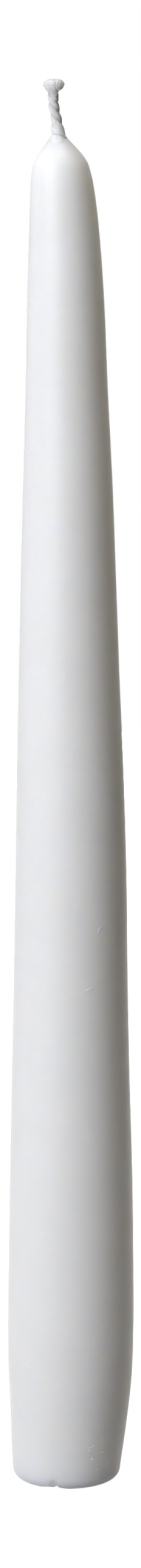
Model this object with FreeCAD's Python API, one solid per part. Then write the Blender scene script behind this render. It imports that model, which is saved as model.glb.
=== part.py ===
import FreeCAD
import Part
import itertools
import math
import os

# A taper candle: one slightly bowed taper of white wax around one wick.
# Millimetres, +Z up. It stands on its flat butt end, whose middle is the origin.
# Sideways places are along X, seen from the front with +X to the right.

# Wax body, station by station up from the butt end
# Each length runs from the station before
heel_length = 13.0
hip_length = 15.0
lower_length = 34.0
middle_length = 58.0
upper_length = 60.0
neck_length = 40.0
shoulder_length = 15.2
cone_length = 4.9

butt_diameter = 18.7
heel_diameter = 21.3
hip_diameter = 22.55
lower_diameter = 21.6
middle_diameter = 19.3
upper_diameter = 15.7
neck_diameter = 12.7
shoulder_diameter = 10.35

# How far the bow and the leaning tip carry each station sideways
heel_drift = 0.4
hip_drift = 0.66
lower_drift = 0.74
middle_drift = 0.62
upper_drift = 0.06
neck_drift = -0.45
shoulder_drift = -1.07
tip_drift = -1.4

butt_rounding = 2.2
shoulder_rounding = 5.5
wax_lip = 0.1
bead_radius = 2.4
bead_rise = 0.1

# The small chip in the rim of the butt end, left of the front
chip_angle = -103.6
chip_height = 0.8
chip_radius = 1.3
chip_depth = 0.28

# Wick: a round cord through the wax, and a stub of two plies twisted to the left above it
wick_diameter = 1.94
wick_recess = 0.3
foot_diameter = 2.46
foot_length = 0.4
swell_length = 2.6
stub_length = 7.2
stub_lean = 0.98
lay = 3.75
ply_spread = 0.16
head_diameter = 3.75
flare_length = 1.8
crown_height = 0.9
crown_fullness = 3
crown_drift = 0.22
cut_diameter = 1.2
twist_start = 118.0
steps_per_turn = 16
head_steps = 8

V = FreeCAD.Vector
UP = V(0, 0, 1)

lengths = (heel_length, hip_length, lower_length, middle_length, upper_length, neck_length, shoulder_length)
heights = [0.0, *itertools.accumulate(lengths)]
diameters = (
    butt_diameter, heel_diameter, hip_diameter, lower_diameter,
    middle_diameter, upper_diameter, neck_diameter, shoulder_diameter,
)
drifts = (0.0, heel_drift, hip_drift, lower_drift, middle_drift, upper_drift, neck_drift, shoulder_drift)

shoulder_height = heights[-1]
tip_height = shoulder_height + cone_length
tip_radius = foot_diameter / 2 + wax_lip
neck_top = tip_height + stub_length
rim_height = neck_top + flare_length
wick_top = rim_height + crown_height


def ring(centre, radius):
    return Part.Wire(Part.Circle(centre, UP, radius).toShape())


def loft(rings):
    """A solid that runs smoothly through a row of rings, as cubic stretches."""
    return Part.makeLoft(rings, True, False, False, 3)


def edges_at(solid, height):
    """The round edges of a solid that lie level at one height."""
    return [e for e in solid.Edges if abs(e.BoundBox.ZMin - height) + abs(e.BoundBox.ZMax - height) < 1e-3]


def wax_taper():
    """The bowed taper from the butt end to the shoulder, with the cone on it and both rims rounded."""
    rings = [ring(V(drift, 0, z), d / 2) for z, d, drift in zip(heights, diameters, drifts)]
    tip = ring(V(tip_drift, 0, tip_height), tip_radius)
    cone = Part.makeLoft([rings[-1], tip], True, True)
    solid = loft(rings).fuse(cone)
    solid = solid.makeFillet(shoulder_rounding, edges_at(solid, shoulder_height))
    return solid.makeFillet(butt_rounding, edges_at(solid, 0.0))


def wax_bead():
    """The round swelling of wax at the wick's foot: a ball on the cone's axis that stands out of the cone."""
    half_angle = math.atan2(shoulder_diameter / 2 - tip_radius, cone_length)
    apex = tip_height + tip_radius / math.tan(half_angle)
    centre_height = apex - (bead_radius - bead_rise) / math.sin(half_angle)
    return Part.makeSphere(bead_radius, V(tip_drift, 0, centre_height))


def chip():
    """The ball-shaped bite that the chip leaves in the rounded rim of the butt end."""
    drop = butt_rounding - chip_height
    rim_radius = butt_diameter / 2 - butt_rounding + math.sqrt(butt_rounding ** 2 - drop ** 2)
    reach = rim_radius - chip_depth + chip_radius
    turn = math.radians(chip_angle)
    return Part.makeSphere(chip_radius, V(reach * math.cos(turn), reach * math.sin(turn), chip_height))


def wick_core():
    """The wick inside the wax: a round cord that follows the bow of the taper, straight from station to station."""
    ends = [wick_recess, *heights[1:], tip_height]
    rings = [ring(V(drift, 0, z), wick_diameter / 2) for z, drift in zip(ends, (*drifts, tip_drift))]
    return Part.makeLoft(rings, True, True)


def stub_centre(z):
    """The middle of the stub at a height: it leans away from the bow, stands up and sways back at the head."""
    rise = min((z - tip_height) / stub_length, 1.0)
    sway = max((z - neck_top) / (wick_top - neck_top), 0.0)
    lean = (rise + math.sin(math.pi / 2 * rise)) / 2
    return V(tip_drift - stub_lean * lean + crown_drift * sway ** 2, 0, z)


def stub_radius(z):
    """The radius around both plies at a height: swollen foot, even cord, flared head and domed cut end."""
    cord = wick_diameter / 2
    head = head_diameter / 2
    if z > rim_height:
        climb = min((z - rim_height) / crown_height, 1.0)
        return cut_diameter / 2 + (head - cut_diameter / 2) * math.sqrt(1 - climb ** crown_fullness)
    if z > neck_top:
        return cord + (head - cord) * math.sin(math.pi / 2 * (z - neck_top) / flare_length)
    fall = min(max((z - tip_height - foot_length) / swell_length, 0.0), 1.0)
    return cord + (foot_diameter / 2 - cord) * (1 + math.cos(math.pi * fall)) / 2


def plies(z):
    """The outline of the two plies at a height: two overlapping circles, drawn as one arc each."""
    grown = min((z - tip_height) / foot_length, 1.0)
    outer = stub_radius(z)
    offset = outer * ply_spread * grown
    valley = math.sqrt((outer - offset) ** 2 - offset ** 2)
    turn = math.radians(twist_start - 360 * (min(z, rim_height) - tip_height) / lay)
    along = V(math.cos(turn), math.sin(turn), 0)
    across = UP.cross(along)
    middle = stub_centre(z)
    first = Part.Arc(middle - across * valley, middle + along * outer, middle + across * valley)
    second = Part.Arc(middle + across * valley, middle - along * outer, middle - across * valley)
    return Part.Wire([first.toShape(), second.toShape()])


def plied_stretch(bottom, top, steps):
    """A stretch of the stub between two heights, lofted through the turning outline of its plies."""
    return loft([plies(bottom + (top - bottom) * i / steps) for i in range(steps + 1)])


def wick_stub():
    """The stub above the wax: its twisted cord, the flare of its head and the domed cut end."""
    cord_steps = math.ceil(stub_length / lay * steps_per_turn)
    cord = plied_stretch(tip_height, neck_top, cord_steps)
    flare = plied_stretch(neck_top, rim_height, head_steps)
    crown = plied_stretch(rim_height, wick_top, head_steps)
    return cord.fuse([flare, crown])


wick = wick_core().fuse(wick_stub())
wax_body = wax_taper().fuse(wax_bead()).cut(chip()).cut(wick)

os.makedirs("parts", exist_ok=True)
wax_body.exportStep("parts/wax_body.step")
wick.exportStep("parts/wick.step")
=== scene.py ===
import math
import random

import bpy
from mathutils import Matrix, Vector


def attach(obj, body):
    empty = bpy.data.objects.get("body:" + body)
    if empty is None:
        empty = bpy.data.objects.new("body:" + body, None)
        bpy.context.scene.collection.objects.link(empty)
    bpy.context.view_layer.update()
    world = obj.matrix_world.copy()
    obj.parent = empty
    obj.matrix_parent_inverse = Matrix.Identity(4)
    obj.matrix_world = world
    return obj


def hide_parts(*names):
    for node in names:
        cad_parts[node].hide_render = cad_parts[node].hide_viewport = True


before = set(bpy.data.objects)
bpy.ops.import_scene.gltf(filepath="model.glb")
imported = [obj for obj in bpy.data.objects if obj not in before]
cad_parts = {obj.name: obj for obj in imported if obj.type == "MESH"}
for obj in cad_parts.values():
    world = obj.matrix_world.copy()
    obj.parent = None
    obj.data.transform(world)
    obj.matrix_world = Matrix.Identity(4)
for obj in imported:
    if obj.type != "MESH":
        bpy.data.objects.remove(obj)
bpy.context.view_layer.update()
bpy.ops.object.select_all(action="DESELECT")

# A white taper candle: bowed wax with a conical tip, and a stub of two-ply cotton wick
# Sizes are in millimetres and turned into metres by MM
MM = 0.001
# Keeps a run from being divided by zero
TINY = 1e-9

# The wax, from the butt end up: height, radius, and how far the bow carries the middle to the right
WAX_STATIONS = (
    (0.0, 9.45, -0.12),
    (2.8, 9.76, -0.07),
    (5.1, 9.98, 0.04),
    (9.6, 10.37, 0.28),
    (14.1, 10.73, 0.47),
    (18.7, 11.06, 0.58),
    (27.7, 11.27, 0.665),
    (38.9, 11.19, 0.73),
    (56.8, 10.92, 0.74),
    (74.6, 10.47, 0.66),
    (92.3, 10.11, 0.67),
    (109.9, 9.86, 0.7),
    (127.4, 9.47, 0.57),
    (144.8, 8.95, 0.34),
    (162.0, 8.46, 0.2),
    (179.2, 7.91, 0.1),
    (196.2, 7.25, -0.1),
    (213.2, 6.71, -0.3),
    (221.6, 6.28, -0.47),
    (229.4, 5.76, -0.78),
    (232.4, 5.44, -0.93),
    (234.45, 5.06, -1.06),
    (235.3, 4.83, -1.09),
    (236.1, 4.43, -1.12),
    (237.0, 3.85, -1.17),
    (237.8, 3.2, -1.24),
    (238.6, 2.55, -1.32),
    (239.1, 2.13, -1.38),
    (239.5, 1.79, -1.4),
    (239.7, 1.6, -1.4),
    (239.9, 1.42, -1.4),
    (240.1, 1.25, -1.41),
    (240.3, 1.08, -1.43),
    (240.5, 0.9, -1.45),
)
# The top edge of the wax, and the small cap over it that closes the skin inside the wick
WAX_TOP = 240.5
CAP_RISE = 0.1
# The rounding of the butt end's rim, and how finely the outline of the wax is drawn
BUTT_ROUNDING = 1.7
ROUNDING_STEPS = 10
UNDERSIDE_RINGS = 6
WALL_STEP = 1.0
TIP_STEP = 0.15
TIP_START = 230.0
WAX_SIDES = 128
# A length below this is no length
WELD = 0.001

# The edge of the wax at the wick is wavy: size, number of waves round the tip, and where the first one starts
EDGE_WAVES = ((0.16, 2, 0), (0.04, 7, 1), (0.03, 13, 2))
EDGE_START = 239.3
EDGE_FADE = 0.8
# Painted light: the wax is painted white and chalky up to its edge at the wick, over the shade that the wick
# casts there
PAINTED_TIP_LIGHT_LEVEL = 239.7
PAINTED_TIP_LIGHT_FADE = 0.5

# The drop of wax that has run down the front of the tip: its middle and level, its reach to the side and down,
# its thickness, how full its edge is, and how strongly it is painted paler, a painted highlight that also
# whitens the tip's edge
DROP_MIDDLE = -0.35
DROP_HEIGHT = 239.65
DROP_SIDE = 1.3
DROP_FALL = 0.7
DROP_THICKNESS = 0.24
DROP_FULLNESS = 0.75
DROP_AND_TIP_PAINTED_LIGHT = 0.65
# The skin is drawn finer above this level
DROP_LEVEL = 238.3
DROP_CUTS = 1

# The chip in the rim of the butt end, a shave under it and nicks beside it, each cut as if by a ball:
# turn from the front, reach, height, radius, and how much painted shade greys the cut
BITES = (
    (-13.7, 10.31, 0.85, 1.3, 0.18),
    (-16.0, 8.6, -6.4, 7.0, 0.0),
    (-11.2, 5.7, -0.37, 0.5, 0.3),
    (-11.2, 6.2, -0.14, 0.5, 0.3),
    (-11.2, 6.8, 0.05, 0.5, 0.3),
    (-11.2, 7.4, 0.18, 0.5, 0.3),
    (-11.2, 8.0, 0.26, 0.5, 0.4),
    (-11.2, 8.6, 0.3, 0.5, 0.5),
    (-11.2, 9.1, 0.36, 0.5, 0.6),
    (-47.0, 8.3, -0.32, 0.5, 0.3),
)
# The cuts shape the flat butt end only further out than this
SHAVE_REACH = 4.0
# Marks of handling: places of (turn from the front in degrees, height) along a line, width, depth, paleness
# A negative depth is a ridge, and a negative paleness is painted shade that greys the mark's dent
GROOVES = (
    (((-20.0, 0.68), (-16.0, 0.7), (-12.5, 0.72), (-9.5, 0.66)), 0.26, 0.04, -0.7),
    (((-45.3, 22.82), (-43.0, 22.72), (-40.2, 22.6)), 0.4, -0.06, 1.2),
    (
        ((11.8, 27.67), (18.9, 27.34), (32.4, 26.96), (46.8, 26.67), (59.0, 26.19), (77.5, 26.1)),
        0.14, 0.03, -0.25,
    ),
    (((13.3, 25.83), (25.1, 25.19), (38.2, 24.52), (51.5, 25.01)), 0.13, 0.025, -0.2),
    (((37.4, 1.61), (39.0, 1.1)), 0.24, -0.05, 2.0),
    (((-5.7, 147.87), (-8.4, 146.7), (-10.4, 145.93)), 0.3, -0.03, 0.7),
    (((-4.4, 147.37), (-6.1, 145.98)), 0.28, -0.03, 0.7),
    (((10.5, 147.8), (13.0, 147.66), (15.6, 147.86)), 0.16, 0.03, -0.25),
    (((28.6, 101.59), (29.5, 102.01), (31.5, 102.36)), 0.42, -0.09, 1.4),
    (((31.5, 102.36), (35.0, 102.46), (39.0, 102.42)), 0.22, -0.04, 0.6),
    (((37.4, 102.05), (38.6, 102.13), (39.8, 102.17)), 0.34, 0.09, -0.4),
    (((31.4, 100.31), (34.9, 100.45), (38.9, 100.3)), 0.26, -0.03, 0.4),
    (((32.7, 99.89), (35.6, 99.64), (38.7, 99.76)), 0.26, 0.03, 0.3),
    (((29.6, 99.22), (31.2, 99.43)), 0.26, -0.03, 0.4),
    (((25.0, 96.7), (27.4, 96.78)), 0.24, -0.03, 0.6),
    (((18.9, 92.3), (21.0, 92.43)), 0.24, -0.02, 0.4),
    (((16.0, 91.38), (18.8, 91.6), (22.6, 91.72)), 0.48, -0.1, 1.6),
    (((-41.0, 182.88), (-34.4, 182.33), (-26.9, 182.04), (-21.8, 181.81)), 0.36, 0.03, -0.15),
    (((23.9, 229.96), (26.3, 230.39), (33.9, 230.73)), 0.16, -0.03, 0.5),
    (((54.5, 228.0), (56.7, 226.6)), 0.9, 0.06, 0.0),
)
# Crumbs of wax and specks of dust that stick to the candle: turn from the front, height, radius
CRUMBS = (
    (22.8, 8.07, 0.11), (26.2, 8.24, 0.08), (22.1, 7.44, 0.11), (37.8, 6.78, 0.12), (26.0, 5.82, 0.15),
    (28.4, 5.59, 0.1), (50.6, 8.17, 0.08), (47.4, 4.56, 0.09), (50.2, 2.9, 0.08), (33.5, 3.63, 0.07),
    (2.8, 1.64, 0.05), (15.6, 23.52, 0.1), (18.7, 13.7, 0.07), (21.7, 13.75, 0.07), (15.5, 14.1, 0.07),
    (11.3, 16.78, 0.06), (-5.3, 17.97, 0.06), (63.0, 5.72, 0.07), (42.8, 4.04, 0.07), (22.1, 76.19, 0.07),
    (32.9, 173.0, 0.07), (31.8, 215.06, 0.06), (31.2, 213.81, 0.06), (-18.5, 0.69, 0.05),
)
SPECKS = (
    (-50.2, 29.03, 0.06), (18.3, 24.54, 0.06), (42.4, 84.17, 0.06), (61.0, 77.22, 0.06), (54.0, 60.95, 0.06),
    (-63.4, 90.86, 0.06), (34.3, 124.98, 0.05), (-62.4, 2.42, 0.05), (-34.5, 2.06, 0.05),
)
# The grains are a little larger than listed, and each is longer or shorter and rough in its own way
CRUMB_GROWTH = 1.15
CRUMB_STRETCH = (0.75, 1.25)
CRUMB_ROUGHNESS = (0.85, 1.1)
# The skin is drawn finer near a mark
MARK_MARGIN = 0.5
MARK_CUTS = 7
# The wall lies further out than this share of the skin's radius, and ends this far under the top
WALL_SHARE = 0.9
TOP_MARGIN = 0.01

# The wick: a cord of two plies, twisted to the left, that runs through the wax and stands out of its tip
WICK_RADIUS = 0.97
# The height of one whole turn, and the first ply's direction in degrees at the tip of the wax
LAY = 3.75
TIP_HEIGHT = 240.1
TWIST_START = 118.0
# How far apart the plies lie, as a share of the radius around both: less at the foot,
# where wax holds them together
PLY_SPREAD = 0.2
FOOT_SPREAD = 0.2
FOOT_LENGTH = 1.4
# The yarns on the skin of a ply turn round it more slowly than the plies turn round each other
SKIN_YARNS = 18
YARN_RADIUS = 0.11
YARN_TURN = 0.35
# They sway to and fro at their own pace, and lie deeper where they sway far
YARN_SWAY = 0.12
YARN_PACE = (1.5, 3.0)
YARN_SINK = 3
YARN_THICKNESS = (0.8, 1.15)
# Where a yarn lies between its neighbours
YARN_SPACING = (0.3, 0.7)
CORD_STEPS = 64
CORD_TOP = 247.5
# The yarns are matted together into one skin, drawn this finely
WICK_VOXEL = 0.041
WICK_SEED = 7
# The cut lower end of the wick, a little way up its hole
WICK_RECESS = 0.3
WICK_END_LENGTH = 1.5
END_YARNS = 60
END_YARN_RADIUS = 0.12
END_FRAY = 0.15
END_STEPS = 3
END_SEED = 3
# Yarns side by side in a round end, from the middle out
YARN_SPIRAL = math.radians(137.5)

# The stub from inside the wax's tip up to the neck: height, radius around both plies, drift of the middle
STUB_STATIONS = (
    (238.8, 0.97, -1.3),
    (239.6, 1.6, -1.4),
    (239.9, 1.43, -1.4),
    (240.1, 1.32, -1.41),
    (240.3, 1.27, -1.43),
    (240.5, 1.25, -1.45),
    (240.9, 1.22, -1.53),
    (241.5, 1.18, -1.63),
    (242.2, 1.08, -1.7),
    (242.9, 0.98, -1.77),
    (243.6, 0.97, -1.9),
    (244.4, 0.95, -2.09),
    (245.6, 0.97, -2.27),
    (246.4, 0.97, -2.34),
    (247.1, 0.97, -2.36),
    (248.0, 0.97, -2.34),
    (250.0, 0.97, -2.3),
)
# The head, where the plies open: height, reach to the left, reach to the right
NECK_HEIGHT = 247.1
HEAD_STATIONS = (
    (247.1, 0.97, 1.05),
    (247.35, 1.07, 1.14),
    (247.6, 1.25, 1.16),
    (247.85, 1.36, 1.2),
    (248.1, 1.51, 1.53),
    (248.4, 1.64, 1.76),
    (248.75, 1.76, 1.93),
    (249.1, 1.82, 1.98),
    (249.37, 1.78, 1.93),
    (249.6, 1.6, 1.8),
    (249.8, 1.27, 1.52),
    (249.96, 0.7, 0.9),
)
# The head is widest at its rim and domed above it
RIM_HEIGHT = 249.1
CROWN_RISE = 0.89
CROWN_FULLNESS = 2.3
# A ply's strands of yarn in the head, seen from the front: places of (reach to the side, height)
# In front, one ply crosses the neck in a band, opens to the left, and splits where one strand is left out
BAND_STRANDS = 13
BAND_SPLIT = 6
BAND_START = ((1.1, 246.1), (0.8, 247.72))
BAND_BEND = ((-1.05, 247.06), (0.27, 248.1))
BAND_END = ((-1.86, 249.2), (0.16, 249.87))
# Behind it, the other ply fans out to the right
FAN_STRANDS = 14
FAN_START = (0.6, 247.95)
FAN_END = ((1.66, 248.32), (1.97, 248.95), (1.78, 249.5), (1.25, 249.8), (0.5, 249.87))
# How deep a fanned strand starts, and the pace at which it comes up: a pace of 2 takes half the strand
FAN_SINK = 0.22
FAN_PACE = 2.2
STRAND_STEPS = 24
STRAND_RADIUS = 0.1
STRAND_THICKNESS = (0.8, 1.2)
STRAND_DEPTH = (-0.04, 0.05)
# A strand starts thin and tucked in, each at a pace of its own
STRAND_START = 0.7
START_PACE = 2
TUCK = 0.15
TUCK_PACE = 6
# The yarns' cut ends on top of the head
CUT_ENDS = 90
CUT_REACH = 0.97
CUT_FRAY = 0.02
CUT_STEPS = 3
CUT_STEP = 0.25
CUT_TAPER = 0.06
CUT_THICKNESS = (0.75, 1.0)
# The matted core that the yarns lie on: it starts just above their lower ends
CORE_BOTTOM = STUB_STATIONS[0][0] + 0.05
CORE_TOP = 249.9
CORE_STEPS = 160
CORE_SIDES = 64
# In the head, it lies this deep under the outline, and turns from two plies into a bulb over this height
CORE_DEPTH_LEFT = 0.13
CORE_DEPTH_RIGHT = 0.15
CORE_RIGHT_SHARE = 0.7
HEAD_OPENING = 1.2


def select_only(piece):
    bpy.ops.object.select_all(action="DESELECT")
    piece.select_set(True)
    bpy.context.view_layer.objects.active = piece


def joined(pieces):
    """Joins pieces to the first of them."""
    select_only(pieces[0])
    for piece in pieces:
        piece.select_set(True)
    bpy.ops.object.join()
    return pieces[0]


def smooth(piece):
    for polygon in piece.data.polygons:
        polygon.use_smooth = True


def apply_modifier(piece, kind, **settings):
    """Adds a modifier, sets it up and applies it."""
    select_only(piece)
    modifier = piece.modifiers.new(kind.lower(), kind)
    for name, value in settings.items():
        setattr(modifier, name, value)
    bpy.ops.object.modifier_apply(modifier=modifier.name)


def between(low, high, share):
    return low + (high - low) * share


def ease(share):
    """A smooth step from 0 to 1."""
    share = min(max(share, 0.0), 1.0)
    return share * share * (3 - 2 * share)


def through(rows, height, column):
    """The value of a column of rows at a height, on a smooth curve through all of them."""
    i = 1
    while i < len(rows) - 1 and rows[i][0] < height:
        i += 1
    slopes = []
    for k in (i - 1, i):
        below = rows[max(k - 1, 0)]
        above = rows[min(k + 1, len(rows) - 1)]
        here = rows[k]
        run_below = max(here[0] - below[0], TINY)
        run_above = max(above[0] - here[0], TINY)
        rise_below = (here[column] - below[column]) / run_below
        rise_above = (above[column] - here[column]) / run_above
        if k == 0:
            slopes.append(rise_above)
        elif k == len(rows) - 1:
            slopes.append(rise_below)
        else:
            slopes.append((rise_below * run_above + rise_above * run_below) / (run_below + run_above))
    start, end = rows[i - 1], rows[i]
    run = end[0] - start[0]
    t = (height - start[0]) / run
    return (
        (2 * t ** 3 - 3 * t ** 2 + 1) * start[column]
        + (t ** 3 - 2 * t ** 2 + t) * run * slopes[0]
        + (3 * t ** 2 - 2 * t ** 3) * end[column]
        + (t ** 3 - t ** 2) * run * slopes[1]
    )


def wax_radius(height):
    return through(WAX_STATIONS, height, 1)


def wax_drift(height):
    return through(WAX_STATIONS, height, 2)


def outline_of_wax():
    """The outline that is spun into the wax: from the hole in the butt end up the outside to the tip."""
    ceiling = WICK_RECESS + WICK_END_LENGTH
    points = [(0.0, ceiling), (WICK_RADIUS / 2, ceiling), (WICK_RADIUS, ceiling), (WICK_RADIUS, WICK_RECESS)]
    rim = wax_radius(0) - BUTT_ROUNDING
    for i in range(UNDERSIDE_RINGS):
        points.append((between(WICK_RADIUS, rim, i / UNDERSIDE_RINGS), 0.0))
    for i in range(ROUNDING_STEPS + 1):
        turn = math.pi / 2 * i / ROUNDING_STEPS
        height = BUTT_ROUNDING * (1 - math.cos(turn))
        points.append((skin_radius(height), height))
    height = BUTT_ROUNDING + WALL_STEP
    while height < WAX_TOP - TIP_STEP / 2:
        points.append((wax_radius(height), height))
        height += WALL_STEP if height < TIP_START else TIP_STEP
    points.append((wax_radius(WAX_TOP), WAX_TOP))
    points.append((WICK_RADIUS / 2, WAX_TOP + CAP_RISE))
    points.append((0.0, WAX_TOP + CAP_RISE))
    return points


def skin_radius(height):
    """The radius of the outside at a height, with the rounding of the butt end's rim."""
    if height >= BUTT_ROUNDING:
        return wax_radius(height)
    rounding = math.sqrt(max(1 - (1 - height / BUTT_ROUNDING) ** 2, 0.0))
    lean = wax_radius(height) - wax_radius(0)
    return wax_radius(0) - BUTT_ROUNDING + (BUTT_ROUNDING + lean) * rounding


def turned(name, outline, sides):
    """A line of (radius, height) points, spun around the upright axis."""
    mesh = bpy.data.meshes.new(name)
    corners = [(radius * MM, 0, height * MM) for radius, height in outline]
    mesh.from_pydata(corners, [(i, i + 1) for i in range(len(corners) - 1)], [])
    piece = bpy.data.objects.new(name, mesh)
    bpy.context.scene.collection.objects.link(piece)
    select_only(piece)
    bpy.ops.object.mode_set(mode="EDIT")
    bpy.ops.mesh.select_all(action="SELECT")
    bpy.ops.mesh.spin(steps=sides, angle=2 * math.pi, center=(0, 0, 0), axis=(0, 0, 1))
    bpy.ops.mesh.select_all(action="SELECT")
    bpy.ops.mesh.remove_doubles(threshold=WELD * MM)
    bpy.ops.mesh.normals_make_consistent(inside=False)
    bpy.ops.object.mode_set(mode="OBJECT")
    return piece


def at_turn(turn, reach, height):
    """A place at a reach from the upright axis. Its turn from the front is in degrees."""
    side = math.radians(turn)
    return Vector((reach * math.sin(side), -reach * math.cos(side), height))


def on_skin(turn, height, lift=0.0):
    """A place on the straight candle's outside."""
    return at_turn(turn, skin_radius(height) + lift, height)


def turn_of(place):
    """The turn from the front of a place, in degrees."""
    return math.degrees(math.atan2(place.x, -place.y))


def away_from_line(place, line):
    """How far a place on the skin is from a line of (turn, height) places, in millimetres along the skin."""
    nearest = math.inf
    turn = turn_of(place)
    to_arc = math.radians(1) * math.hypot(place.x, place.y)
    for (start_turn, start_height), (end_turn, end_height) in zip(line, line[1:]):
        run = Vector(((end_turn - start_turn) * to_arc, end_height - start_height))
        here = Vector(((turn - start_turn) * to_arc, place.z - start_height))
        share = min(max(here.dot(run) / run.length_squared, 0.0), 1.0)
        nearest = min(nearest, (here - share * run).length)
    return nearest


def drop_rise(place):
    """How far the drop of wax stands out of the cone at a place."""
    if place.y > 0 or place.z < DROP_HEIGHT - DROP_FALL:
        return 0.0
    across = (place.x - DROP_MIDDLE) / DROP_SIDE
    down = min(place.z - DROP_HEIGHT, 0.0) / DROP_FALL
    cap = max(1 - across ** 2 - down ** 2, 0.0) ** DROP_FULLNESS
    return DROP_THICKNESS * cap


def uneven_edge(turn, height):
    """How far the edge of the wax at the wick is lowered at a turn from the front, in degrees."""
    waves = sum(size * math.sin(count * math.radians(turn) + start) for size, count, start in EDGE_WAVES)
    return waves * ease((height - EDGE_START) / EDGE_FADE)


def bitten(place):
    """Moves a place that lies inside a ball-shaped bite onto the wall of the bite, and gives the painted shade
    that greys the bite.
    """
    shade = 0.0
    for turn, reach, height, radius, painted_shade in BITES:
        middle = at_turn(turn, reach, height)
        out = place - middle
        if out.length < radius:
            place = middle + out * (radius / out.length)
            shade = max(shade, painted_shade)
    return place, shade


def band_of(line, width):
    """The lowest and the highest level at which a line of places still shapes the skin."""
    heights = [height for _turn, height in line]
    return min(heights) - width / 2, max(heights) + width / 2


def near_mark(place, margin):
    """Whether a place on the skin is on a mark, or less than the margin from one."""
    for turn, reach, height, radius, _painted_shade in BITES:
        if (place - at_turn(turn, reach, height)).length < radius + margin:
            return True
    for line, width, _depth, _tone in GROOVES:
        low, high = band_of(line, width)
        if low - margin < place.z < high + margin and away_from_line(place, line) < width / 2 + margin:
            return True
    return False


def worn(place):
    """Where the marks move a place of the skin, and how much paler or greyer they paint it: chalky wax in
    scratches, a painted highlight on the drop, painted light at the tip's edge, and painted shade in the dents
    and the chip.
    """
    dent = 0.0
    chalk_and_painted_light = 0.0
    for line, width, depth, tone in GROOVES:
        low, high = band_of(line, width)
        if low < place.z < high:
            away = away_from_line(place, line) / (width / 2)
            if away < 1:
                share = math.cos(math.pi / 2 * away) ** 2
                dent += depth * share
                chalk_and_painted_light += tone * share
    rise = drop_rise(place)
    # Painted highlight on the drop, and painted light at the tip's edge where the wick shades it
    chalk_and_painted_light += DROP_AND_TIP_PAINTED_LIGHT * max(rise / DROP_THICKNESS, ease((place.z - PAINTED_TIP_LIGHT_LEVEL) / PAINTED_TIP_LIGHT_FADE))
    turn = turn_of(place)
    moved = min(place.z + uneven_edge(turn, place.z), WAX_TOP)
    uneven = skin_radius(moved) - skin_radius(place.z)
    place, shade = bitten(on_skin(turn, place.z, rise - dent + uneven))
    return place, chalk_and_painted_light - shade


def finer_where(piece, wanted, cuts):
    """Cuts the faces finer whose middle is wanted."""
    select_only(piece)
    bpy.ops.object.mode_set(mode="EDIT")
    bpy.ops.mesh.select_mode(type="FACE")
    bpy.ops.mesh.select_all(action="DESELECT")
    bpy.ops.object.mode_set(mode="OBJECT")
    for polygon in piece.data.polygons:
        polygon.select = wanted(polygon.center / MM)
    bpy.ops.object.mode_set(mode="EDIT")
    bpy.ops.mesh.subdivide(number_cuts=cuts)
    bpy.ops.object.mode_set(mode="OBJECT")


def on_outside(place):
    """Whether a place of the straight candle is on its wall or its tip."""
    return 0 < place.z < WAX_TOP - TOP_MARGIN and place.xy.length > WALL_SHARE * skin_radius(place.z)


def on_underside(place):
    """Whether a place is on the flat butt end, near its rim."""
    return place.z < WELD and place.xy.length > SHAVE_REACH


def wear(piece):
    """Gives the skin a finer mesh near the chips, scratches and drop, and then their shape and paleness, which
    holds chalky scratches, a painted highlight on the drop, painted light at the tip and painted shade in the
    dents and chip.
    """
    def marked(place):
        return (on_outside(place) or on_underside(place)) and near_mark(place, MARK_MARGIN)

    finer_where(piece, lambda place: place.z > DROP_LEVEL and on_outside(place), DROP_CUTS)
    finer_where(piece, marked, MARK_CUTS)
    chalk_and_painted_lights = []
    for vertex in piece.data.vertices:
        place = vertex.co / MM
        chalk_and_painted_light = 0.0
        if on_outside(place) and (place.z > DROP_LEVEL or marked(place)):
            place, chalk_and_painted_light = worn(place)
            vertex.co = place * MM
        elif on_underside(place):
            place, shade = bitten(place)
            chalk_and_painted_light = -shade
            vertex.co = place * MM
        chalk_and_painted_lights.append(chalk_and_painted_light)
    attribute = piece.data.attributes.new("chalk_and_painted_light", "FLOAT", "POINT")
    attribute.data.foreach_set("value", chalk_and_painted_lights)


def crumbs(name, rows):
    """Small grains, half sunk in the skin: one is modelled, and the others are its copies."""
    bpy.ops.mesh.primitive_ico_sphere_add(subdivisions=2, radius=MM)
    first = bpy.context.object
    first.name = name
    rng = random.Random(len(rows))
    grains = []
    for turn, height, radius in rows:
        grain = first.copy()
        grain.data = first.data.copy()
        bpy.context.scene.collection.objects.link(grain)
        place = on_skin(turn, height)
        place.x += wax_drift(height)
        stretch = rng.uniform(*CRUMB_STRETCH)
        for vertex in grain.data.vertices:
            vertex.co = place * MM + vertex.co * radius * CRUMB_GROWTH * rng.uniform(*CRUMB_ROUGHNESS)
            vertex.co.z += (vertex.co.z - place.z * MM) * (stretch - 1)
        grains.append(grain)
    bpy.data.objects.remove(first)
    whole = joined(grains)
    whole.name = name
    return whole


def bow(piece):
    """Carries every level of a straight piece sideways, as the candle's bow does."""
    for vertex in piece.data.vertices:
        vertex.co.x += wax_drift(vertex.co.z / MM) * MM


def stub_radius(height):
    return through(STUB_STATIONS, height, 1)


def stub_middle(height):
    return through(STUB_STATIONS, height, 2)


def clamped(rows, height, column):
    """The value of a column at a height, which stays the same beyond the first and the last row."""
    return through(rows, min(max(height, rows[0][0]), rows[-1][0]), column)


def head_reach(height, turn):
    """How far the head reaches from its middle at a height, in a direction."""
    share = (1 + math.cos(turn)) / 2
    return between(clamped(HEAD_STATIONS, height, 1), clamped(HEAD_STATIONS, height, 2), share)


def crown_height(share):
    """How high the domed cut end of the wick is, at a share of its reach from the middle."""
    return RIM_HEIGHT + CROWN_RISE * max(1 - share ** CROWN_FULLNESS, 0.0) ** (1 / CROWN_FULLNESS)


def ply_turn(ply, height):
    """The direction in which a ply lies from the middle of the stub. It turns to the left as it rises."""
    return math.radians(TWIST_START + 180 * ply - 360 * (height - TIP_HEIGHT) / LAY)


def ply_spread(height):
    """How far apart the plies lie, as a share of the radius around both."""
    return PLY_SPREAD * between(FOOT_SPREAD, 1, ease((height - WAX_TOP) / FOOT_LENGTH))


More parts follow.
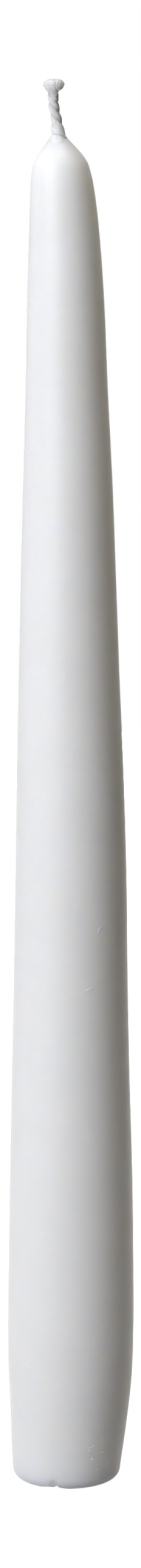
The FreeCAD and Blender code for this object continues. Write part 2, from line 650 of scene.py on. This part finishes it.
def skin_yarn(ply, place, rng):
    """A yarn up the cord: a row of (place, radius). It starts at a place round its ply, in radians."""
    rows = []
    sway = rng.uniform(-YARN_SWAY, YARN_SWAY)
    pace = rng.uniform(*YARN_PACE)
    thick = YARN_RADIUS * rng.uniform(*YARN_THICKNESS)
    bottom = STUB_STATIONS[0][0]
    for i in range(CORD_STEPS + 1):
        height = between(bottom, CORD_TOP, i / CORD_STEPS)
        radius = stub_radius(height)
        lay = ply_turn(ply, height)
        loose = sway * math.sin(pace * (height - NECK_HEIGHT))
        own = lay + place + loose + YARN_TURN * 2 * math.pi * (height - NECK_HEIGHT) / LAY
        offset = radius * ply_spread(height)
        inside = radius - offset - thick * (1 + abs(loose) * YARN_SINK)
        x = stub_middle(height) + offset * math.cos(lay) + inside * math.cos(own)
        y = offset * math.sin(lay) + inside * math.sin(own)
        rows.append((Vector((x, y, height)), thick))
    return rows


def facing_of(side, height):
    """The direction in which a place on the front of the head lies, from its reach to the side."""
    left = clamped(HEAD_STATIONS, height, 1)
    right = clamped(HEAD_STATIONS, height, 2)
    uneven = (right - left) / 2
    even = (right + left) / 2
    if abs(uneven) < WELD:
        share = side / even
    else:
        share = (math.sqrt(max(even ** 2 + 4 * uneven * side, 0.0)) - even) / (2 * uneven)
    return -math.acos(min(max(share, -1.0), 1.0))


def on_head(side, height, ply, depth):
    """A place on the head, or depth under its outline. The second ply is the first, half a turn on."""
    facing = facing_of(side, height) + math.pi * ply
    away = head_reach(height, facing) - depth
    return Vector((stub_middle(height) + away * math.cos(facing), away * math.sin(facing), height))


def along_line(line, share):
    """The place at a share of the way along a row of places."""
    spot = share * (len(line) - 1)
    i = min(int(spot), len(line) - 2)
    return Vector(line[i]).lerp(Vector(line[i + 1]), spot - i)


def head_strand(ply, start, bend, end, sink, rng):
    """A strand on the head, from the neck in one curve up to the domed end: a row of (place, radius)."""
    rows = []
    thick = STRAND_RADIUS * rng.uniform(*STRAND_THICKNESS)
    lift = rng.uniform(*STRAND_DEPTH)
    for i in range(STRAND_STEPS + 1):
        share = i / STRAND_STEPS
        spot = start.lerp(bend, share).lerp(bend.lerp(end, share), share)
        width = thick * between(STRAND_START, 1, ease(share * START_PACE))
        depth = width + lift + sink * (1 - ease(share * FAN_PACE)) + TUCK * (1 - ease(share * TUCK_PACE))
        rows.append((on_head(spot.x, spot.y, ply, depth), width))
    return rows


def cut_end(index, rng):
    """The end of a yarn that was cut off level with the domed top of the head."""
    share = CUT_REACH * math.sqrt((index + 0.5) / CUT_ENDS)
    facing = index * YARN_SPIRAL
    top = crown_height(share) - rng.uniform(0.0, CUT_FRAY)
    rows = []
    for i in range(CUT_STEPS):
        height = top - CUT_STEP * i
        away = head_reach(RIM_HEIGHT, facing) * share * (1 - CUT_TAPER * i) - STRAND_RADIUS * share
        x = stub_middle(height) + away * math.cos(facing)
        thick = STRAND_RADIUS * rng.uniform(*CUT_THICKNESS)
        rows.append((Vector((x, away * math.sin(facing), height)), thick))
    return rows


def tubes(name, rows_of_points):
    """One mesh of tubes with six sides, one along each row of (place, radius)."""
    curve = bpy.data.curves.new(name, "CURVE")
    curve.dimensions = "3D"
    curve.bevel_depth = MM
    curve.bevel_resolution = 1
    curve.use_fill_caps = True
    for rows in rows_of_points:
        spline = curve.splines.new("POLY")
        spline.points.add(len(rows) - 1)
        for point, (place, radius) in zip(spline.points, rows):
            point.co = (*(place * MM), 1)
            point.radius = radius
    piece = bpy.data.objects.new(name, curve)
    bpy.context.scene.collection.objects.link(piece)
    select_only(piece)
    bpy.ops.object.convert(target="MESH")
    return bpy.context.object


def hollow_share(place):
    """How deep a place lies under the smooth outline of the stub, from 0 to 1."""
    height = place.z
    away = Vector((place.x - stub_middle(height), place.y))
    if height < NECK_HEIGHT:
        return min(max(1 - away.length / stub_radius(height), 0.0), 1.0)
    full = head_reach(min(height, RIM_HEIGHT), math.atan2(away.y, away.x))
    share = min(away.length / full, 1.0)
    under_crown = (crown_height(share) - height) / CROWN_RISE
    return max(min(1 - share, under_crown), 0.0)


def core_reach(height, turn):
    """The reach of the matted core under the yarns: two round plies in the cord, and a bulb in the head."""
    radius = stub_radius(height)
    offset = radius * ply_spread(height)
    aside = turn - ply_turn(0, height)
    ply = radius - offset
    wall = math.sqrt(ply ** 2 - (offset * math.sin(aside)) ** 2)
    plies = offset * abs(math.cos(aside)) + wall - YARN_RADIUS
    if height < NECK_HEIGHT:
        return plies
    right = ease((1 + math.cos(turn)) * CORE_RIGHT_SHARE)
    bulb = head_reach(height, turn) - between(CORE_DEPTH_LEFT, CORE_DEPTH_RIGHT, right)
    return between(plies, bulb, ease((height - NECK_HEIGHT) / HEAD_OPENING))


def make_core():
    """The matted core: a closed solid of level rings."""
    bpy.ops.mesh.primitive_cylinder_add(vertices=CORE_SIDES, radius=MM, depth=MM)
    core = bpy.context.object
    core.name = "wick_core"
    corners = []
    for step in range(CORE_STEPS + 1):
        height = between(CORE_BOTTOM, CORE_TOP, step / CORE_STEPS)
        for i in range(CORE_SIDES):
            turn = 2 * math.pi * i / CORE_SIDES
            away = core_reach(height, turn)
            x = stub_middle(height) + away * math.cos(turn)
            corners.append(Vector((x, away * math.sin(turn), height)) * MM)
    faces = [tuple(reversed(range(CORE_SIDES)))]
    for step in range(CORE_STEPS):
        for i in range(CORE_SIDES):
            low = step * CORE_SIDES
            high = low + CORE_SIDES
            j = (i + 1) % CORE_SIDES
            faces.append((low + i, low + j, high + j, high + i))
    faces.append(tuple(range(len(corners) - CORE_SIDES, len(corners))))
    core.data.clear_geometry()
    core.data.from_pydata(corners, [], faces)
    core.data.update()
    return core


def make_wick_stub():
    """The stub: yarns twisted into two plies and fanned out at the cut end, matted together by wax."""
    rng = random.Random(WICK_SEED)
    rows = []
    for ply in (0, 1):
        for k in range(SKIN_YARNS):
            rows.append(skin_yarn(ply, 2 * math.pi * (k + rng.uniform(*YARN_SPACING)) / SKIN_YARNS, rng))
        for k in range(BAND_STRANDS):
            if k == BAND_SPLIT:
                continue
            share = (k + rng.uniform(*YARN_SPACING)) / BAND_STRANDS
            line = [along_line(row, share) for row in (BAND_START, BAND_BEND, BAND_END)]
            rows.append(head_strand(ply, *line, 0.0, rng))
        for k in range(FAN_STRANDS):
            end = along_line(FAN_END, (k + rng.uniform(*YARN_SPACING)) / FAN_STRANDS)
            start = Vector(FAN_START)
            rows.append(head_strand(ply, start, start.lerp(end, 0.5), end, FAN_SINK, rng))
    for index in range(CUT_ENDS):
        rows.append(cut_end(index, rng))
    yarns = tubes("wick_stub", rows)
    stub = joined([yarns, make_core()])
    apply_modifier(stub, "REMESH", mode="VOXEL", voxel_size=WICK_VOXEL * MM)
    apply_modifier(stub, "SMOOTH", factor=0.5, iterations=1)
    hollow = stub.data.attributes.new("hollow", "FLOAT", "POINT")
    hollow.data.foreach_set("value", [hollow_share(v.co / MM) for v in stub.data.vertices])
    return stub


def make_wick_end():
    """The cut lower end of the wick, a little way up the hole in the butt end."""
    rng = random.Random(END_SEED)
    rows = []
    for k in range(END_YARNS):
        away = (WICK_RADIUS - END_YARN_RADIUS) * math.sqrt((k + 0.5) / END_YARNS)
        turn = k * YARN_SPIRAL
        foot = WICK_RECESS + rng.uniform(0, END_FRAY)
        row = []
        for i in range(END_STEPS + 1):
            height = between(foot, WICK_RECESS + WICK_END_LENGTH, i / END_STEPS)
            facing = turn - 2 * math.pi * height / LAY
            place = (wax_drift(height) + away * math.cos(facing), away * math.sin(facing), height)
            row.append((Vector(place), END_YARN_RADIUS))
        rows.append(row)
    return tubes("wick_end", rows)


class Value:
    """A socket of a shader that can stand in a Python sum. Every operator adds a Math node."""

    def __init__(self, graph, socket):
        self.graph = graph
        self.socket = socket

    def math(self, operation, *values):
        return self.graph.add("ShaderNodeMath", {"operation": operation}, dict(enumerate(values)))

    def __add__(self, other):
        return self.math("ADD", self, other)

    def __radd__(self, other):
        return self.math("ADD", other, self)

    def __sub__(self, other):
        return self.math("SUBTRACT", self, other)

    def __rsub__(self, other):
        return self.math("SUBTRACT", other, self)

    def __mul__(self, other):
        return self.math("MULTIPLY", self, other)

    def __rmul__(self, other):
        return self.math("MULTIPLY", other, self)


class Graph:
    """The nodes of one material, or of the world."""

    def __init__(self, owner):
        owner.use_nodes = True
        self.owner = owner
        self.tree = owner.node_tree
        self.tree.nodes.clear()

    def node(self, kind, settings=None, inputs=None):
        """Adds a node, sets it up and feeds its sockets."""
        node = self.tree.nodes.new(kind)
        for name, value in (settings or {}).items():
            setattr(node, name, value)
        for name, value in (inputs or {}).items():
            if isinstance(value, Value):
                self.tree.links.new(value.socket, node.inputs[name])
            else:
                node.inputs[name].default_value = value
        return node

    def add(self, kind, settings=None, inputs=None, output=0):
        """Adds a node and returns one of its outputs."""
        return Value(self, self.node(kind, settings, inputs).outputs[output])

    def mix(self, share, first, second):
        """A colour between two colours."""
        inputs = {0: share, 6: first, 7: second}
        return self.add("ShaderNodeMix", {"data_type": "RGBA"}, inputs, 2)

    def noise(self, place, size, detail=2.0):
        """Cloudy noise whose patches are about size millimetres wide."""
        inputs = {"Vector": place, "Scale": 1 / (size * MM), "Detail": detail}
        return self.add("ShaderNodeTexNoise", None, inputs, "Fac")

    def band(self, value, low, high):
        """0 below low, 1 above high, and smooth between."""
        settings = {"interpolation_type": "SMOOTHSTEP"}
        return self.add("ShaderNodeMapRange", settings, {"Value": value, "From Min": low, "From Max": high})

    def place(self):
        return self.add("ShaderNodeTexCoord", None, None, "Object")

    def stored(self, name):
        """A value that is stored at the corners of the mesh."""
        return self.add("ShaderNodeAttribute", {"attribute_name": name}, None, "Fac")

    def blend(self, share, first, second):
        """A shader between two shaders."""
        return self.add("ShaderNodeMixShader", None, {0: share, 1: first, 2: second})

    def soft(self, colour, roughness, depth, spread, weight=1.0, more=None):
        """A surface that light enters, to a depth in millimetres. The spread is each colour's share of it."""
        return self.add("ShaderNodeBsdfPrincipled", None, {
            "Base Color": colour,
            "Roughness": roughness,
            "Subsurface Weight": weight,
            "Subsurface Radius": spread,
            "Subsurface Scale": depth * MM,
            **(more or {}),
        })

    def looked_at(self):
        """1 for what is seen directly or by way of gloss or glass, and 0 for light that bounces."""
        camera = self.add("ShaderNodeLightPath", None, None, "Is Camera Ray")
        gloss = self.add("ShaderNodeLightPath", None, None, "Is Glossy Ray")
        glass = self.add("ShaderNodeLightPath", None, None, "Is Transmission Ray")
        settings = {"operation": "ADD", "use_clamp": True}
        return self.add("ShaderNodeMath", settings, {0: camera + gloss, 1: glass})

    def finish(self, shader, output="ShaderNodeOutputMaterial"):
        self.node(output, None, {"Surface": shader})
        return self.owner


WHITE = (1, 1, 1, 1)
# Wax: its two shades and the width of their clouds, the width of its grain, and how deep light enters it
WAX_COLOURS = ((0.9, 0.9, 0.885, 1), (0.915, 0.915, 0.905, 1))
CLOUD_SIZE = 9.0
GRAIN_SIZE = 0.7
WAX_DEPTH = 6.0
WAX_SPREAD = (1.0, 0.93, 0.7)
# Chalky wax, from hardly to very, whose white is also a painted highlight on the drop and painted light at the
# tip, and the grey of painted shade in the dents and the chip
CHALK_AND_HIGHLIGHT_COLOURS = ((0.9, 0.9, 0.89, 1), WHITE)
DENT_SHADE_COLOUR = (0.3, 0.28, 0.25, 1)
CHALK_DEPTH = 0.25
MATT_SPREAD = (1.0, 0.95, 0.85)
# The grains of wax and dust
GRAIN_CLOUDS = 0.1
CRUMB_COLOUR = (0.86, 0.86, 0.86, 1)
DUST_COLOUR = (0.45, 0.43, 0.4, 1)


def wax_shader(g, place):
    """Smooth white wax with a satin surface that lets a little light in."""
    clouds = g.noise(place, CLOUD_SIZE)
    grain = g.noise(place, GRAIN_SIZE, 4.0)
    colour = g.mix(g.band(clouds, 0.35, 0.65), *WAX_COLOURS)
    roughness = 0.36 + 0.1 * g.band(grain, 0.3, 0.7)
    bumps = g.add("ShaderNodeBump", None, {"Strength": 0.25, "Distance": 0.02 * MM, "Height": grain})
    more = {"Normal": bumps, "Specular IOR Level": 0.4}
    return g.soft(colour, roughness, WAX_DEPTH, WAX_SPREAD, 1.0, more)


def wax_material():
    """Wax that is chalky white and no longer see-through where it was scratched or has run down. On the drop
    and the tip's edge this white is a painted highlight, and in the dents and chip a grey is painted as their
    shade.
    """
    g = Graph(bpy.data.materials.new("wax"))
    chalk_and_painted_light = g.stored("chalk_and_painted_light")
    # Chalky white in scratches, and painted highlight and painted light on the drop and the tip
    chalk_and_painted_colour = g.mix(g.band(chalk_and_painted_light, 0.0, 1.0), *CHALK_AND_HIGHLIGHT_COLOURS)
    # Painted shade: the dents and the chip are painted grey
    chalk_and_painted_colour = g.mix(g.band(0 - chalk_and_painted_light, 0.0, 1.0), chalk_and_painted_colour, DENT_SHADE_COLOUR)
    chalk_and_painted_shader = g.soft(chalk_and_painted_colour, 0.5, CHALK_DEPTH, MATT_SPREAD)
    share = g.band(g.add("ShaderNodeMath", {"operation": "ABSOLUTE"}, {0: chalk_and_painted_light}), 0.0, 0.7)
    return g.finish(g.blend(share, wax_shader(g, g.place()), chalk_and_painted_shader))


def plain_material(name, colour):
    """Matt grains of one colour, a little cloudy."""
    g = Graph(bpy.data.materials.new(name))
    paler = g.mix(0.3, colour, WHITE)
    cloudy = g.mix(g.noise(g.place(), GRAIN_CLOUDS), colour, paler)
    shader = g.add("ShaderNodeBsdfPrincipled", None, {"Base Color": cloudy, "Roughness": 0.6})
    return g.finish(shader)


# Cotton: two tones of its threads, their stain, and the painted shade deep between them, where shade falls
# between yarns and plies
THREAD_COLOURS = ((0.8, 0.795, 0.78, 1), (0.86, 0.86, 0.86, 1))
FUZZ_SIZE = 0.15
STAIN_COLOUR = (0.7, 0.69, 0.67, 1)
STAIN_SIZE = 0.8
HOLLOW_SHADE_COLOUR = (0.6, 0.57, 0.52, 1)
# The foot is full of wax, up to a level at which it turns dry
FOOT_COLOUR = (0.96, 0.96, 0.955, 1)
FOOT_LEVELS = (240.6, 243.2)
FOOT_DEPTH = 1.3
DRY_SPREAD = (1.0, 1.0, 0.9)
DRY_DEPTH = 0.15
# The head is loose, with painted shade in its grooves, which end at its cut top
# The head's grey is partly its own tone and partly painted shade: it starts below the neck, where the head
# shades it
HEAD_TONE_AND_NECK_SHADE = (0.74, 0.74, 0.75, 1)
GROOVE_SHADE_COLOUR = (0.5, 0.49, 0.47, 1)
GROOVE_SHADE_LEVELS = (249.3, 249.6)
HEAD_AND_NECK_SHADE_LEVELS = (246.2, 247.6)
HEAD_DEPTH = 3.6
HEAD_SHARE = 0.8


def cotton_material():
    """Bleached cotton, matted with a little wax and soaked with it at the foot."""
    g = Graph(bpy.data.materials.new("cotton"))
    place = g.place()
    hollow = g.stored("hollow")
    fuzz = g.noise(place, FUZZ_SIZE, 3.0)
    stain = g.noise(place, STAIN_SIZE)
    height = g.add("ShaderNodeSeparateXYZ", None, {"Vector": place}, "Z") * (1 / MM)
    level = height + 1.2 * (stain - 0.5)
    threads = g.mix(g.band(fuzz, 0.3, 0.7), *THREAD_COLOURS)
    threads = g.mix(g.band(stain, 0.4, 0.7) * 0.5, threads, STAIN_COLOUR)
    # Painted shade: the cotton is painted darker where it lies deep between the yarns and plies
    colour = g.mix(g.band(hollow, 0.08, 0.3), threads, HOLLOW_SHADE_COLOUR)
    bumps = g.add("ShaderNodeBump", None, {"Strength": 0.4, "Distance": 0.02 * MM, "Height": fuzz})
    dry = g.soft(colour, 0.8, DRY_DEPTH, DRY_SPREAD, 0.5, {"Normal": bumps})
    foot = g.soft(FOOT_COLOUR, 0.5, FOOT_DEPTH, MATT_SPREAD)
    # Painted shade in the head's grooves, which stops at its cut top
    groove_shade = g.band(hollow, 0.03, 0.13) * (1 - g.band(height, *GROOVE_SHADE_LEVELS))
    head = g.soft(g.mix(groove_shade, HEAD_TONE_AND_NECK_SHADE, GROOVE_SHADE_COLOUR), 0.5, HEAD_DEPTH, MATT_SPREAD)
    lower = g.blend(1 - g.band(level, *FOOT_LEVELS), dry, foot)
    # The head's grey blend begins below the neck, as painted shade under the head
    return g.finish(g.blend(HEAD_SHARE * g.band(level, *HEAD_AND_NECK_SHADE_LEVELS), lower, head))


def dress(piece, material, slot, *nodes):
    """Gives a finished piece its material, hangs it on the root and hides the CAD nodes that it stands for.
    Its slot is not used.
    """
    piece.data.materials.clear()
    piece.data.materials.append(material)
    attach(piece, "root")
    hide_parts(*nodes)


wax = turned("wax", outline_of_wax(), WAX_SIDES)
wear(wax)
bow(wax)
smooth(wax)
dress(wax, wax_material(), "wax", "wax_body")

white_crumbs = crumbs("wax_crumbs", CRUMBS)
dress(white_crumbs, plain_material("crumb_wax", CRUMB_COLOUR), "wax", "wax_body")
dust = crumbs("dust_specks", SPECKS)
dress(dust, plain_material("dust", DUST_COLOUR), "wax", "wax_body")

cotton = cotton_material()
stub = make_wick_stub()
smooth(stub)
dress(stub, cotton, "cotton", "wick")
wick_end = make_wick_end()
dress(wick_end, cotton, "cotton", "wick")


# The stage: a pale floor that meets a pale background, and soft lights. Its lengths are in metres
FLOOR_RADIUS = 0.8
FLOOR_SIDES = 96
FLOOR_SEEN = (0.9, 0.9, 0.9, 1)
FLOOR_GLOW = 0.9
# The light that the floor bounces, beside the candle and further away
FLOOR_NEAR = (0.28, 0.275, 0.265, 1)
FLOOR_FAR = (0.19, 0.18, 0.17, 1)
NEAR_REACH = 0.012
FAR_REACH = 0.03
BACKGROUND_LIGHT = (0.028, 0.018, 0.0, 1)


def floor_material():
    """A plain pale floor. The light that it bounces is darker further away."""
    g = Graph(bpy.data.materials.new("floor"))
    reach = g.add("ShaderNodeVectorMath", {"operation": "LENGTH"}, {0: g.place()}, "Value")
    bounced = g.mix(g.band(reach, NEAR_REACH, FAR_REACH), FLOOR_NEAR, FLOOR_FAR)
    seen = g.looked_at()
    lit = g.add("ShaderNodeBsdfDiffuse", None, {"Color": g.mix(seen, bounced, FLOOR_SEEN)})
    glow = g.add("ShaderNodeEmission", None, {"Color": WHITE, "Strength": seen * FLOOR_GLOW})
    return g.finish(g.add("ShaderNodeAddShader", None, {0: lit, 1: glow}))


bpy.ops.mesh.primitive_circle_add(vertices=FLOOR_SIDES, radius=FLOOR_RADIUS, fill_type="NGON")
floor = bpy.context.object
floor.name = "floor"
floor.data.materials.append(floor_material())

studio = Graph(bpy.data.worlds.new("studio"))
backdrop = studio.mix(studio.looked_at(), BACKGROUND_LIGHT, WHITE)
background = studio.add("ShaderNodeBackground", None, {"Color": backdrop})
bpy.context.scene.world = studio.finish(background, "ShaderNodeOutputWorld")


def soft_light(name, azimuth, distance, height, aim, width, length, watts, colour):
    """A soft box. Azimuth 0 stands where the camera does, and 90 to the right of the candle."""
    turn = math.radians(azimuth)
    spot = Vector((distance * math.sin(turn), -distance * math.cos(turn), height))
    lamp = bpy.data.lights.new(name, "AREA")
    lamp.shape = "RECTANGLE"
    lamp.size = width
    lamp.size_y = length
    lamp.energy = watts
    lamp.color = colour
    light = bpy.data.objects.new(name, lamp)
    light.location = spot
    light.rotation_euler = (Vector((0, 0, aim)) - spot).to_track_quat("-Z", "Y").to_euler()
    bpy.context.scene.collection.objects.link(light)


# Name, azimuth, distance, height, height of its aim, width, length, watts, colour
LAMPS = (
    ("key", -38, 0.95, 0.45, 0.12, 0.7, 0.6, 9.3, (0.905, 0.93, 1.0)),
    ("side", -104, 0.9, 0.5, 0.12, 0.4, 0.6, 1.3, (0.97, 0.97, 1.0)),
    ("back", 184, 0.9, 0.12, 0.12, 0.4, 0.25, 3.0, (1.0, 0.95, 0.86)),
    ("top", 60, 0.05, 1.2, 0.2, 0.4, 0.4, 5.0, (1.0, 0.98, 0.96)),
)
for lamp in LAMPS:
    soft_light(*lamp)

# The camera stands a metre away and looks down on the candle by a few degrees
CAMERA_PLACE = (0.627 * MM, -1.0, 0.3057)
CAMERA_TILT = 10.16
CAMERA_LENS = 132.42
CAMERA_SENSOR = 36
camera = bpy.data.objects.new("camera", bpy.data.cameras.new("camera"))
camera.data.lens = CAMERA_LENS
camera.data.sensor_width = CAMERA_SENSOR
camera.location = CAMERA_PLACE
camera.rotation_euler = (math.radians(90 - CAMERA_TILT), 0, 0)
bpy.context.scene.collection.objects.link(camera)
bpy.context.scene.camera = camera
bpy.context.scene.view_settings.view_transform = "Standard"

bpy.context.view_layer.update()
